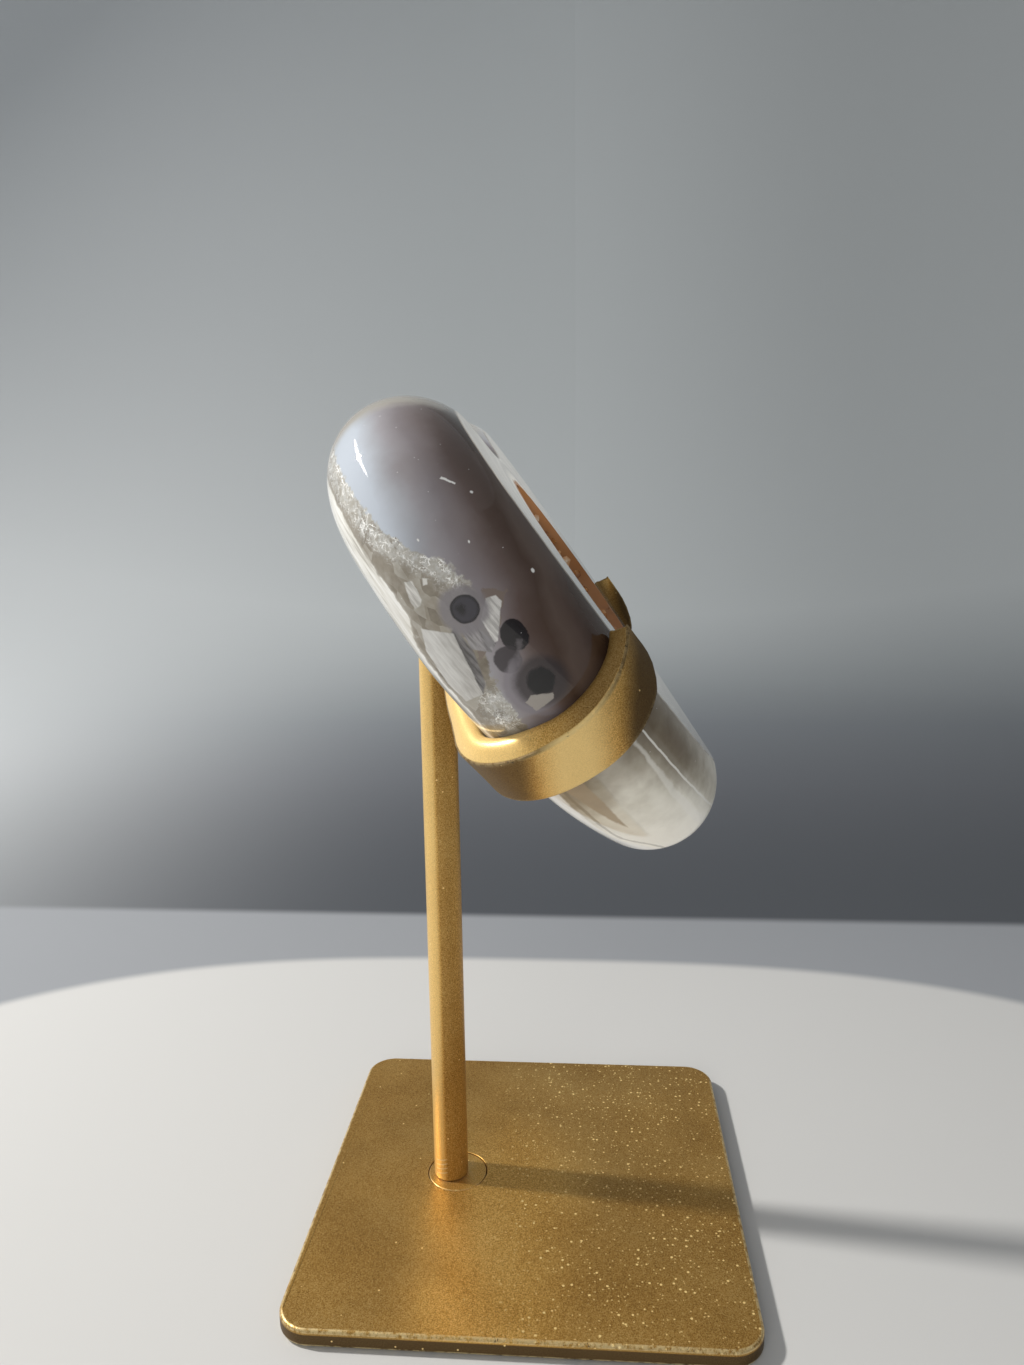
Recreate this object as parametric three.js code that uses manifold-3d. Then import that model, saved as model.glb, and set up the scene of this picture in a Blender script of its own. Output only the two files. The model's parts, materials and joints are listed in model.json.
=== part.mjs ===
// Agate heart standing in a bent metal cradle, on a round post and a square base plate.
// Millimetres, +Z up. The origin is the centre of the plate's underside. The heart leans
// back towards the post at +Y, and its flat face looks up and towards -Y.
import * as THREE from 'three';
import { mergeVertices } from 'three/addons/utils/BufferGeometryUtils.js';
import Module from 'manifold-3d';

const wasm = await Module();
wasm.setup();

// Base plate
const plateSide = 76;
const plateThickness = 3;
const plateCornerRadius = 5.5;
const plateEdgeRound = 0.6;

// Post, and the round bush that holds its foot in the plate
const postDiameter = 6.35;
const postSetback = 14.9;
const postWeldHeight = 101.6;
const spigotDiameter = 4.6;
const bushDiameter = 10.9;
const bushOffset = 1.2;
const bushEdgeRound = 0.3;
const footClearance = 0.15;

// Heart, seen on its flat face
const heartTilt = THREE.MathUtils.degToRad(35.4);
const heartHeight = 86.7;
const lobeRadius = 24;
const lobeSpacing = 38;
const sideRadius = 80;
const tipRadius = 13;
const cleftRadius = 4;

// Heart, seen on its edge
const heartThickness = 24.8;
const widestDepth = 11.5;
const backDome = 1.7;
const faceInset = 8.5;
const backInset = 11;
const smallestTipRadius = 1.5;
const faceEdgeTurn = THREE.MathUtils.degToRad(70);
const backEdgeTurn = THREE.MathUtils.degToRad(80);
const backSideShare = 0.6;
const backTipShare = 0.85;
const backTipFade = 24;
const backFullTop = 46;
const backSlimHeight = 68;

// Crystal pocket in the flat face
const pocketWidth = 41;
const pocketHeight = 37;
const pocketDepth = 9;
const pocketCentreHeight = 48;

// Cradle: a flat bar bent round the heart's back and sides, with its ends on the face
const barWidth = 9;
const barThickness = 3.2;
const barEdgeRound = 0.8;
const barLipRise = 1.4;
const cradleClearance = 0.3;
const weldGap = 0.3;
const cradleSideHeight = 31.2;
const leftEndRise = 5.8;
const rightEndRise = 8;
const cradleBackRise = 12.5;
const cradleBackBend = 10.5;
const cradleWrap = THREE.MathUtils.degToRad(64);
const weldOverlap = 3.5;

// How finely the curves are divided
const quarterSegments = 8;
const edgeSegments = 2;
const outlineSegments = { tip: 8, side: 14, lobe: 18, cleft: 6 };
const faceEdgeSegments = 6;
const backEdgeSegments = 7;
const domeRings = 3;
const cradleFrontSteps = 8;
const cradleSideSteps = 2;
const cradleBendSteps = 10;
const cradleBackSteps = 8;

const gold = { color: 0xb58f4a, roughness: 0.45, metalness: 0.85 };
const agate = { color: 0x8d8790, roughness: 0.12, metalness: 0 };

// Joins equal corners, so that a geometry becomes one closed shell
function welded(geometry) {
  const bare = geometry.clone();
  bare.deleteAttribute('normal');
  bare.deleteAttribute('uv');
  return mergeVertices(bare, 1e-4);
}

function toSolid(geometry) {
  const shell = welded(geometry);
  return new wasm.Manifold(new wasm.Mesh({
    numProp: 3,
    vertProperties: new Float32Array(shell.attributes.position.array),
    triVerts: new Uint32Array(shell.index.array),
  }));
}

function toGeometry(solid) {
  const mesh = solid.getMesh();
  const geometry = new THREE.BufferGeometry();
  geometry.setAttribute('position', new THREE.BufferAttribute(mesh.vertProperties, 3));
  geometry.setIndex(new THREE.BufferAttribute(mesh.triVerts, 1));
  geometry.computeVertexNormals();
  return geometry;
}

function piece(name, geometry, look) {
  const mesh = new THREE.Mesh(geometry, new THREE.MeshStandardMaterial(look));
  mesh.name = name;
  return mesh;
}

// Skins a row of rings that all have the same number of points, and closes both ends
function loft(rings) {
  const count = rings[0].length;
  const points = rings.flat();
  const faces = [];
  for (let row = 0; row + 1 < rings.length; row += 1) {
    for (let i = 0; i < count; i += 1) {
      const a = row * count + i;
      const b = row * count + (i + 1) % count;
      faces.push(a, b + count, b, a, a + count, b + count);
    }
  }
  const closeEnd = (start, atStart) => {
    const middle = new THREE.Vector3();
    for (let i = 0; i < count; i += 1) {
      middle.addScaledVector(points[start + i], 1 / count);
    }
    const hub = points.push(middle) - 1;
    for (let i = 0; i < count; i += 1) {
      const a = start + i;
      const b = start + (i + 1) % count;
      faces.push(hub, atStart ? a : b, atStart ? b : a);
    }
  };
  closeEnd(0, true);
  closeEnd((rings.length - 1) * count, false);
  const geometry = new THREE.BufferGeometry().setFromPoints(points);
  geometry.setIndex(faces);
  geometry.computeVertexNormals();
  return geometry;
}

// A circle of four quarter arcs, so that every round in the plate is divided alike
function circle(path, x, y, radius) {
  for (let quarter = 0; quarter < 4; quarter += 1) {
    path.absarc(x, y, radius, quarter * Math.PI / 2, (quarter + 1) * Math.PI / 2);
  }
  return path;
}

// Extrudes a flat shape upwards with small rounded edges that stay inside its size.
// Arcs are divided twice as finely as other curves.
function roundedExtrude(shape, thickness, round) {
  const geometry = new THREE.ExtrudeGeometry(shape, {
    depth: thickness - 2 * round,
    curveSegments: quarterSegments / 2,
    bevelThickness: round,
    bevelSize: round,
    bevelOffset: -round,
    bevelSegments: edgeSegments,
  });
  return geometry.translate(0, 0, round);
}

const bushCentre = postSetback - bushOffset;

function basePlate() {
  const half = plateSide / 2;
  const inner = half - plateCornerRadius;
  const shape = new THREE.Shape();
  shape.absarc(inner, inner, plateCornerRadius, 0, Math.PI / 2);
  shape.absarc(-inner, inner, plateCornerRadius, Math.PI / 2, Math.PI);
  shape.absarc(-inner, -inner, plateCornerRadius, Math.PI, 1.5 * Math.PI);
  shape.absarc(inner, -inner, plateCornerRadius, 1.5 * Math.PI, 2 * Math.PI);
  shape.holes.push(circle(new THREE.Path(), 0, bushCentre, bushDiameter / 2 + footClearance));
  return roundedExtrude(shape, plateThickness, plateEdgeRound);
}

function footBush() {
  const shape = circle(new THREE.Shape(), 0, bushCentre, bushDiameter / 2);
  shape.holes.push(circle(new THREE.Path(), 0, postSetback, spigotDiameter / 2 + footClearance));
  return roundedExtrude(shape, plateThickness, bushEdgeRound);
}

// The post stands on the bush, its spigot fills the bore, and its top is cut to the
// slope of the cradle's back
function post() {
  const radius = postDiameter / 2;
  const spigot = spigotDiameter / 2;
  const reach = radius * (1 + 1 / Math.tan(heartTilt));
  const uncut = postWeldHeight + reach;
  const profile = [
    new THREE.Vector2(0, 0),
    new THREE.Vector2(spigot, 0),
    new THREE.Vector2(spigot, plateThickness),
    new THREE.Vector2(radius, plateThickness),
    new THREE.Vector2(radius, uncut),
    new THREE.Vector2(0, uncut),
  ];
  const rod = new THREE.LatheGeometry(profile, 4 * quarterSegments).rotateX(Math.PI / 2);
  const blockSize = 4 * reach;
  const block = new THREE.BoxGeometry(blockSize, blockSize, blockSize);
  block.translate(0, -blockSize / 2, 0).rotateX(-heartTilt).translate(0, 0, postWeldHeight);
  const cut = toSolid(rod).subtract(toSolid(block));
  return toGeometry(cut).translate(0, postSetback, 0);
}

// Centre of the long side arc, which touches the tip arc and the lobe arc from outside
const tipCentre = new THREE.Vector2(0, tipRadius);
const lobeCentre = new THREE.Vector2(lobeSpacing / 2, heartHeight - lobeRadius);
const cleftCentre = new THREE.Vector2(
  0,
  lobeCentre.y + Math.sqrt((lobeRadius + cleftRadius) ** 2 - lobeCentre.x ** 2),
);

function sideArcCentre() {
  const between = lobeCentre.clone().sub(tipCentre);
  const distance = between.length();
  const toTip = sideRadius - tipRadius;
  const toLobe = sideRadius - lobeRadius;
  const along = (toTip ** 2 - toLobe ** 2 + distance ** 2) / (2 * distance);
  const across = Math.sqrt(toTip ** 2 - along ** 2);
  const forward = between.normalize();
  const sideways = new THREE.Vector2(-forward.y, forward.x);
  return tipCentre.clone().addScaledVector(forward, along).addScaledVector(sideways, across);
}

const sideCentre = sideArcCentre();

function heading(from, to) {
  return Math.atan2(to.y - from.y, to.x - from.x);
}

// Four arcs make the right half of the outline, from the tip round to the cleft. An inset
// shrinks the outward arcs and widens the cleft.
const tipEnd = heading(sideCentre, tipCentre);
const sideEnd = heading(sideCentre, lobeCentre);
const outlineArcs = [
  { centre: tipCentre, radius: tipRadius, grow: -1, from: -Math.PI / 2, to: tipEnd,
    steps: outlineSegments.tip },
  { centre: sideCentre, radius: sideRadius, grow: -1, from: tipEnd, to: sideEnd,
    steps: outlineSegments.side },
  { centre: lobeCentre, radius: lobeRadius, grow: -1, from: sideEnd,
    to: heading(lobeCentre, cleftCentre), steps: outlineSegments.lobe },
  { centre: cleftCentre, radius: cleftRadius, grow: 1, from: heading(cleftCentre, lobeCentre),
    to: -Math.PI / 2, steps: outlineSegments.cleft },
];

function halfOutline(inset) {
  const points = [];
  for (const arc of outlineArcs) {
    const radius = arc.radius + arc.grow * inset;
    for (let i = 0; i < arc.steps; i += 1) {
      const angle = THREE.MathUtils.lerp(arc.from, arc.to, i / arc.steps);
      points.push(new THREE.Vector2(
        arc.centre.x + radius * Math.cos(angle),
        arc.centre.y + radius * Math.sin(angle),
      ));
    }
  }
  points.push(new THREE.Vector2(0, cleftCentre.y - cleftRadius - inset));
  return points;
}

// The back is fuller where the cradle holds the stone: it takes the least share of its
// inset along the sides, and the whole of it only in the lobes
function backInsetShare(height) {
  const towardsTip = 1 - THREE.MathUtils.smoothstep(height, 0, backTipFade);
  const towardsLobe = THREE.MathUtils.smoothstep(height, backFullTop, backSlimHeight);
  return backSideShare + (backTipShare - backSideShare) * towardsTip
    + (1 - backSideShare) * towardsLobe;
}

// One closed ring of the heart at a depth behind its face. The tip and the cleft lie on
// the middle line, so the mirrored half leaves them out.
function heartRing(depth, inset, insetShare = () => 1) {
  const inner = halfOutline(inset);
  const right = halfOutline(0).map((p, i) => p.clone().lerp(inner[i], insetShare(p.y)));
  const left = right.slice(1, -1).reverse().map((p) => new THREE.Vector2(-p.x, p.y));
  return [...right, ...left].map((p) => new THREE.Vector3(p.x, depth, p.y));
}

// The rounded edge in section: depth and inset at a turn away from the widest line
const edgeThickness = heartThickness - backDome;
const roundLimit = tipRadius - smallestTipRadius;
const faceEdgeInset = Math.min(faceInset, roundLimit);
const backEdgeInset = Math.min(backInset, roundLimit);

function faceEdge(turn) {
  return {
    depth: widestDepth * (1 - Math.sin(turn) / Math.sin(faceEdgeTurn)),
    inset: faceEdgeInset * (1 - Math.cos(turn)) / (1 - Math.cos(faceEdgeTurn)),
  };
}

function backEdge(turn) {
  return {
    depth: widestDepth + (edgeThickness - widestDepth) * Math.sin(turn) / Math.sin(backEdgeTurn),
    inset: backEdgeInset * (1 - Math.cos(turn)) / (1 - Math.cos(backEdgeTurn)),
  };
}

function agateHeart() {
  const rings = [];
  for (let i = 0; i <= faceEdgeSegments; i += 1) {
    const { depth, inset } = faceEdge(faceEdgeTurn * (1 - i / faceEdgeSegments));
    rings.push(heartRing(depth, inset));
  }
  for (let i = 1; i <= backEdgeSegments; i += 1) {
    const { depth, inset } = backEdge(backEdgeTurn * i / backEdgeSegments);
    rings.push(heartRing(depth, inset, backInsetShare));
  }
  const rim = rings.at(-1);
  const crown = new THREE.Vector3(0, edgeThickness, heartHeight / 2);
  for (let i = 1; i < domeRings; i += 1) {
    const reach = 1 - i / domeRings;
    const rise = backDome * (1 - reach ** 2) / (1 - (1 / domeRings) ** 2);
    rings.push(rim.map((p) => p.clone().lerp(crown, 1 - reach).setY(edgeThickness + rise)));
  }
  const pocket = new THREE.SphereGeometry(1, 4 * quarterSegments, 2 * quarterSegments);
  pocket.scale(pocketWidth / 2, pocketDepth, pocketHeight / 2);
  pocket.translate(0, 0, pocketCentreHeight);
  return toGeometry(toSolid(loft(rings)).subtract(toSolid(pocket)));
}

// A place on the heart's right side where the bar lies, with the directions out of the
// stone and up along its wall
function sideStation(height, depth, inset, outTurn) {
  const radius = sideRadius - inset;
  const angle = Math.asin((height - sideCentre.y) / radius);
  const wall = new THREE.Vector3(Math.cos(angle), 0, Math.sin(angle));
  const out = wall.clone().multiplyScalar(Math.cos(outTurn)).setY(Math.sin(outTurn));
  const place = new THREE.Vector3(
    sideCentre.x + radius * Math.cos(angle),
    depth,
    sideCentre.y + radius * Math.sin(angle),
  );
  return { place, out, up: new THREE.Vector3(-Math.sin(angle), 0, Math.cos(angle)) };
}

// Heading of the face edge's outward normal in section, from two places close together
function faceEdgeNormal(turn) {
  const step = 1e-4;
  const before = faceEdge(turn - step);
  const after = faceEdge(turn + step);
  return Math.atan2(before.inset - after.inset, before.depth - after.depth);
}

// Turns each place's up direction square to the path that the bar takes there
function squareToPath(stations) {
  return stations.map((station, i) => {
    const before = stations[Math.max(i - 1, 0)].place;
    const after = stations[Math.min(i + 1, stations.length - 1)].place;
    const along = after.clone().sub(before).normalize();
    const up = station.up.clone().addScaledVector(along, -station.up.dot(along)).normalize();
    return { ...station, up };
  });
}

// One half of the bar's path, on the right. It starts at the end on the face, follows the
// stone round the face's edge to its widest line, and from there climbs along the side and
// round a sharp bend to the middle of the back.
function cradlePath(endRise) {
  const front = [];
  for (let i = cradleFrontSteps; i > 0; i -= 1) {
    const share = i / cradleFrontSteps;
    const turn = cradleWrap * share;
    const { depth, inset } = faceEdge(turn);
    const height = cradleSideHeight + endRise * share ** 2;
    const station = sideStation(height, depth, inset, faceEdgeNormal(turn));
    front.push({ ...station, lip: 1 - share ** 2 });
  }
  const bendDepth = heartThickness - cradleBackBend;
  const sideLength = bendDepth - widestDepth;
  const bendEnd = sideLength + cradleBackBend * Math.PI / 2;
  const top = sideStation(cradleSideHeight + cradleBackRise, heartThickness, cradleBackBend, 0);
  const climb = bendEnd + top.place.x;
  const heightAt = (run) => cradleSideHeight
    + cradleBackRise * THREE.MathUtils.smoothstep(run, 0, climb);
  const back = [];
  for (let i = 0; i < cradleSideSteps; i += 1) {
    const run = sideLength * i / cradleSideSteps;
    back.push(sideStation(heightAt(run), widestDepth + run, 0, 0));
  }
  for (let i = 0; i <= cradleBendSteps; i += 1) {
    const turn = Math.PI / 2 * i / cradleBendSteps;
    const depth = bendDepth + cradleBackBend * Math.sin(turn);
    const inset = cradleBackBend * (1 - Math.cos(turn));
    back.push(sideStation(heightAt(sideLength + cradleBackBend * turn), depth, inset, turn));
  }
  const corner = back.at(-1);
  for (let i = 1; i <= cradleBackSteps; i += 1) {
    const share = i / cradleBackSteps;
    const x = corner.place.x * (1 - share);
    const height = heightAt(THREE.MathUtils.lerp(bendEnd, climb, share));
    const up = corner.up.clone().lerp(new THREE.Vector3(0, 0, 1), share);
    back.push({
      place: new THREE.Vector3(x, heartThickness, height),
      out: new THREE.Vector3(0, 1, 0),
      up: up.normalize(),
    });
  }
  return [...front, ...squareToPath(back)];
}

// Section of the bar as pairs of distances, out of the stone and up along it. The upper
// side rises from the outer edge to a lip against the stone.
function barSection(lipRise) {
  const shape = new THREE.Shape();
  const near = cradleClearance + barEdgeRound;
  const far = cradleClearance + barThickness - barEdgeRound;
  const side = barWidth / 2 - barEdgeRound;
  const slopeTurn = Math.atan2(far - near, lipRise);
  shape.absarc(far, side, barEdgeRound, 0, slopeTurn);
  shape.absarc(near, side + lipRise, barEdgeRound, slopeTurn, Math.PI);
  shape.absarc(near, -side, barEdgeRound, Math.PI, 1.5 * Math.PI);
  shape.absarc(far, -side, barEdgeRound, 1.5 * Math.PI, 2 * Math.PI);
  return shape.getPoints(edgeSegments).slice(0, -1);
}

function cradleBand() {
  const mirror = new THREE.Vector3(-1, 1, 1);
  const right = cradlePath(rightEndRise);
  const left = cradlePath(leftEndRise).slice(0, -1).reverse().map((station) => ({
    ...station,
    place: station.place.clone().multiply(mirror),
    out: station.out.clone().multiply(mirror),
    up: station.up.clone().multiply(mirror),
  }));
  return loft([...right, ...left].map(({ place, out, up, lip = 1 }) => (
    barSection(barLipRise * lip).map(
      (p) => place.clone().addScaledVector(out, p.x).addScaledVector(up, p.y),
    ))));
}

// The cradle's back is welded to the sloping top of the post, and carries the heart
const leaning = new THREE.Group();
leaning.rotation.x = -heartTilt;
const slantReach = postDiameter / 2 / Math.sin(heartTilt);
const weldPoint = new THREE.Vector3(
  0,
  heartThickness + cradleClearance + barThickness + weldGap,
  cradleSideHeight + cradleBackRise + barWidth / 2 - weldOverlap + slantReach,
);
leaning.position.set(0, postSetback, postWeldHeight)
  .sub(weldPoint.applyEuler(leaning.rotation));
leaning.add(piece('cradle_band', cradleBand(), gold));
leaning.add(piece('agate_heart', agateHeart(), agate));

const stand = new THREE.Group();
stand.add(piece('base_plate', basePlate(), gold));
stand.add(piece('foot_bush', footBush(), gold));
stand.add(piece('post', post(), gold));
stand.add(leaning);

export default stand;
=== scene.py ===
# Polished agate heart in a bent gold cradle, on a round post and a square plate.
# Metres, +Z up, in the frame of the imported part.
import json
import math
import random

import bmesh
import bpy
from mathutils import Euler, Matrix, Vector, noise


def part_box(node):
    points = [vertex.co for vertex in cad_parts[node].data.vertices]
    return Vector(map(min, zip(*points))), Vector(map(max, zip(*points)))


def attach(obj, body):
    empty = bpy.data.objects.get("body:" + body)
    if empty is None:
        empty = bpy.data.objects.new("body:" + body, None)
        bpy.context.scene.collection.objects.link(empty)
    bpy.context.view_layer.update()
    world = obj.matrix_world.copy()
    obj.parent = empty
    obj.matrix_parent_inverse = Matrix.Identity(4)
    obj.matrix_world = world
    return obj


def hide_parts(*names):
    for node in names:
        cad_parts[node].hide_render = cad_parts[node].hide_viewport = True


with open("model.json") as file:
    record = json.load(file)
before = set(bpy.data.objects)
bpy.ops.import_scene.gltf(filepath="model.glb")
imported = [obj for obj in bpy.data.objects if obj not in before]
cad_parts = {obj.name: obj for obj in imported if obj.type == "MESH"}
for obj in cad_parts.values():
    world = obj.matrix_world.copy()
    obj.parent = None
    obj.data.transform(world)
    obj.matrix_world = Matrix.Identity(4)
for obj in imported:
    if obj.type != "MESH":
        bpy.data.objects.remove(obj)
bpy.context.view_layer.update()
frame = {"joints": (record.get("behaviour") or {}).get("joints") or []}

MM = 0.001
bpy.ops.object.select_all(action="DESELECT")

# The stone's own frame: x across, depth behind the flat face, height above the tip.
# It leans back by the slope of the way it is lifted out.
lift = Vector(frame["joints"][0]["axis"])
LEAN = math.atan2(lift.y, lift.z)
UPRIGHT = Euler((-LEAN, 0, 0)).to_matrix()

# Outline of the stone on its face
HEART_HEIGHT = 86.7 * MM
LOBE_RADIUS = 24 * MM
LOBE_SPACING = 38 * MM
SIDE_RADIUS = 80 * MM
TIP_RADIUS = 13 * MM
CLEFT_RADIUS = 4 * MM

# Section of the stone's edge
THICKNESS = 24.8 * MM
WIDEST_DEPTH = 11.5 * MM
BACK_DOME = 1.7 * MM
FACE_INSET = 8.5 * MM
BACK_INSET = 11 * MM
FACE_TURN = math.radians(70)
BACK_TURN = math.radians(80)

# Share of the back's inset along the height: the back is fuller where the cradle holds the stone
SIDE_SHARE = 0.6
TIP_SHARE = 0.85
TIP_FADE = 24 * MM
FULL_TOP = 46 * MM
SLIM_HEIGHT = 68 * MM

# Crystal pocket in the face
POCKET_WIDTH = 41 * MM
POCKET_HEIGHT = 37 * MM
POCKET_DEPTH = 9 * MM
CRYSTAL_BED = 0.8 * MM
POCKET_CENTRE = 48 * MM
POCKET_WAVE = 0.05
CRYSTAL_COUNT = 1250
CRYSTAL_WIDTH = 2.1 * MM
CRYSTAL_SIZES = (0.45, 1.5)
CRYSTAL_LENGTHS = (0.8, 1.5)
CRYSTAL_LIFT = 0.28
CRYSTAL_TILT = 0.28
BED_MARGIN = 0.985

# Cradle bar
BAR_WIDTH = 9 * MM
BAR_THICKNESS = 3.2 * MM
BAR_GAP = 0.3 * MM
SIDE_HEIGHT = 31.2 * MM
NEAR_END_RISE = 5.8 * MM
FAR_END_RISE = 8 * MM
BACK_RISE = 12.5 * MM
BACK_BEND = 10.5 * MM
WRAP = math.radians(64)
UPPER_CORNER = 0.3 * MM
LOWER_CORNER = 4.2 * MM
END_ROUND = 0.35 * MM
EDGE_ROUND = 0.25 * MM
LIP_RISE = 1.4 * MM
LIP_ROUND = 1.2 * MM
LIP_CLEARANCE = 0.4 * MM
LIP_LEAN = 2.2 * MM
LOWER_ROUND = 1.0 * MM

# Plate, bush and post
PLATE_CORNER = 5.5 * MM
PLATE_ROUND = 0.6 * MM
HOLE_ROUND = 0.15 * MM
FOOT_CLEARANCE = 0.15 * MM
SPIGOT_RADIUS = 2.3 * MM
FOOT_ROUND = 0.3 * MM
BUSH_ROUND = 0.2 * MM
BUSH_DROP = 0.08 * MM
WELD_GAP = 0.3 * MM
WELD_SHARE = 0.7
UNCUT_SPARE = 10 * MM
ROD_SIDES = 72
HOLE_SIDES = 96

# The photograph's view
CAMERA_PLACE = Vector((-0.165905, -0.010793, 0.127617))
CAMERA_FORWARD = Vector((0.981061, 0.075682, -0.17828))
CAMERA_UP = Vector((0.178845, -0.000735, 0.98388))
FOCAL_PIXELS = 981.0
IMAGE_HEIGHT = 1365
SENSOR = 36

# Lamps, in watts and metres
KEY_WAY = Vector((0.08, 0.79, 0.61))
KEY_DISTANCE = 0.7
KEY_SIZE = (0.045, 0.055)
KEY_POWER = 5.2
STREAK_DISTANCE = 0.72
STREAK_SIZE = (0.035, 0.45)
STREAK_POWER = 0.5
STREAK_SLANT = math.radians(80)
FILL_PLACE = Vector((-0.55, 0.12, 0.26))
FILL_SIZE = (0.4, 0.4)
FILL_POWER = 1.1
LAMP_COLOUR = (1, 0.97, 0.92)
SKY_COLOUR = (0.93, 0.96, 1, 1)
SKY_STRENGTH = 0.3

# One seed for all that is left to chance, so that every run gives the same pieces
SEED = 7
chance = random.Random(SEED)
noise.seed_set(SEED)


def srgb(red, green, blue):
    """A colour as it looks on a screen, 0 to 255, as the linear colour that a shader takes."""
    def linear(value):
        share = value / 255
        return share / 12.92 if share <= 0.04045 else ((share + 0.055) / 1.055) ** 2.4
    return (linear(red), linear(green), linear(blue), 1)


# Outline of the heart: four arcs that touch, from the tip round to the cleft

TIP_CENTRE = Vector((0, TIP_RADIUS))
LOBE_CENTRE = Vector((LOBE_SPACING / 2, HEART_HEIGHT - LOBE_RADIUS))
CLEFT_CENTRE = Vector((
    0, LOBE_CENTRE.y + math.sqrt((LOBE_RADIUS + CLEFT_RADIUS) ** 2 - LOBE_CENTRE.x ** 2)))


def side_arc_centre():
    between = LOBE_CENTRE - TIP_CENTRE
    to_tip = SIDE_RADIUS - TIP_RADIUS
    to_lobe = SIDE_RADIUS - LOBE_RADIUS
    along = (to_tip ** 2 - to_lobe ** 2 + between.length_squared) / (2 * between.length)
    across = math.sqrt(to_tip ** 2 - along ** 2)
    ahead = between.normalized()
    return TIP_CENTRE + ahead * along + Vector((-ahead.y, ahead.x)) * across


SIDE_CENTRE = side_arc_centre()


def ease(share):
    share = min(max(share, 0), 1)
    return share * share * (3 - 2 * share)


def heading(start, end):
    return math.atan2(end.y - start.y, end.x - start.x)


def half_outline(inset):
    """The right half of the outline, moved inwards by an inset."""
    tip_end = heading(SIDE_CENTRE, TIP_CENTRE)
    side_end = heading(SIDE_CENTRE, LOBE_CENTRE)
    arcs = (
        (TIP_CENTRE, TIP_RADIUS - inset, -math.pi / 2, tip_end, 14),
        (SIDE_CENTRE, SIDE_RADIUS - inset, tip_end, side_end, 44),
        (LOBE_CENTRE, LOBE_RADIUS - inset, side_end, heading(LOBE_CENTRE, CLEFT_CENTRE), 46),
        (CLEFT_CENTRE, CLEFT_RADIUS + inset, heading(CLEFT_CENTRE, LOBE_CENTRE), -math.pi / 2, 16),
    )
    points = []
    for centre, radius, start, end, steps in arcs:
        for step in range(steps):
            angle = start + (end - start) * step / steps
            points.append(centre + radius * Vector((math.cos(angle), math.sin(angle))))
    points.append(Vector((0, CLEFT_CENTRE.y - CLEFT_RADIUS - inset)))
    return points


def outline(inset):
    right = half_outline(inset)
    left = [Vector((-p.x, p.y)) for p in reversed(right[1:-1])]
    return right + left


def face_edge(turn):
    """Depth and inset of the rounded edge towards the face, at a turn from the widest line."""
    depth = WIDEST_DEPTH * (1 - math.sin(turn) / math.sin(FACE_TURN))
    inset = FACE_INSET * (1 - math.cos(turn)) / (1 - math.cos(FACE_TURN))
    return depth, inset


def back_edge(turn):
    reach = THICKNESS - BACK_DOME - WIDEST_DEPTH
    depth = WIDEST_DEPTH + reach * math.sin(turn) / math.sin(BACK_TURN)
    inset = BACK_INSET * (1 - math.cos(turn)) / (1 - math.cos(BACK_TURN))
    return depth, inset


def back_outline(inset):
    """The outline towards the back, which takes its inset by a share along the height."""
    points = []
    for rim, slim in zip(outline(0), outline(inset), strict=True):
        share = SIDE_SHARE + (TIP_SHARE - SIDE_SHARE) * (1 - ease(rim.y / TIP_FADE))
        share += (1 - SIDE_SHARE) * ease((rim.y - FULL_TOP) / (SLIM_HEIGHT - FULL_TOP))
        points.append(rim.lerp(slim, share))
    return points


# Modelling helpers

def ring_grid(name, rings):
    """A grid laid over closed rings of points."""
    bpy.ops.mesh.primitive_grid_add(x_subdivisions=len(rings[0]), y_subdivisions=len(rings) - 1)
    piece = bpy.context.object
    piece.name = name
    points = [p for ring in rings for p in (*ring, ring[0])]
    for vertex, point in zip(piece.data.vertices, points, strict=True):
        vertex.co = point
    return piece


def loft(name, rings, **shares):
    """A grid over rings with its seam and poles merged.

    Each of the shares holds a value for every point of the rings, kept under its name."""
    piece = ring_grid(name, rings)
    for share, values in shares.items():
        kept = piece.data.attributes.new(share, "FLOAT", "POINT")
        kept.data.foreach_set("value", [v for ring in values for v in (*ring, ring[0])])
    close_up(piece)
    return piece


def close_up(piece):
    """Merges doubles, fills open ends and turns all faces outwards."""
    bpy.ops.object.mode_set(mode="EDIT")
    bpy.ops.mesh.select_all(action="SELECT")
    bpy.ops.mesh.remove_doubles(threshold=0.002 * MM)
    bpy.ops.mesh.select_all(action="DESELECT")
    bpy.ops.mesh.select_mode(type="EDGE")
    bpy.ops.mesh.select_non_manifold()
    if bpy.context.object.data.total_edge_sel:
        bpy.ops.mesh.fill_holes(sides=0)
    bpy.ops.mesh.select_all(action="SELECT")
    bpy.ops.mesh.normals_make_consistent(inside=False)
    bpy.ops.object.mode_set(mode="OBJECT")


def smooth_shade(piece, degrees):
    bpy.ops.object.select_all(action="DESELECT")
    piece.select_set(True)
    bpy.context.view_layer.objects.active = piece
    bpy.ops.object.shade_smooth_by_angle(angle=math.radians(degrees))


def flatten_shading(piece):
    """Lets large flat faces rule the shading, so that the rounded edges don't bleed into them."""
    weigh = piece.modifiers.new("weigh", "WEIGHTED_NORMAL")
    weigh.weight = 100
    weigh.keep_sharp = True
    bpy.ops.object.modifier_apply(modifier=weigh.name)


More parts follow.
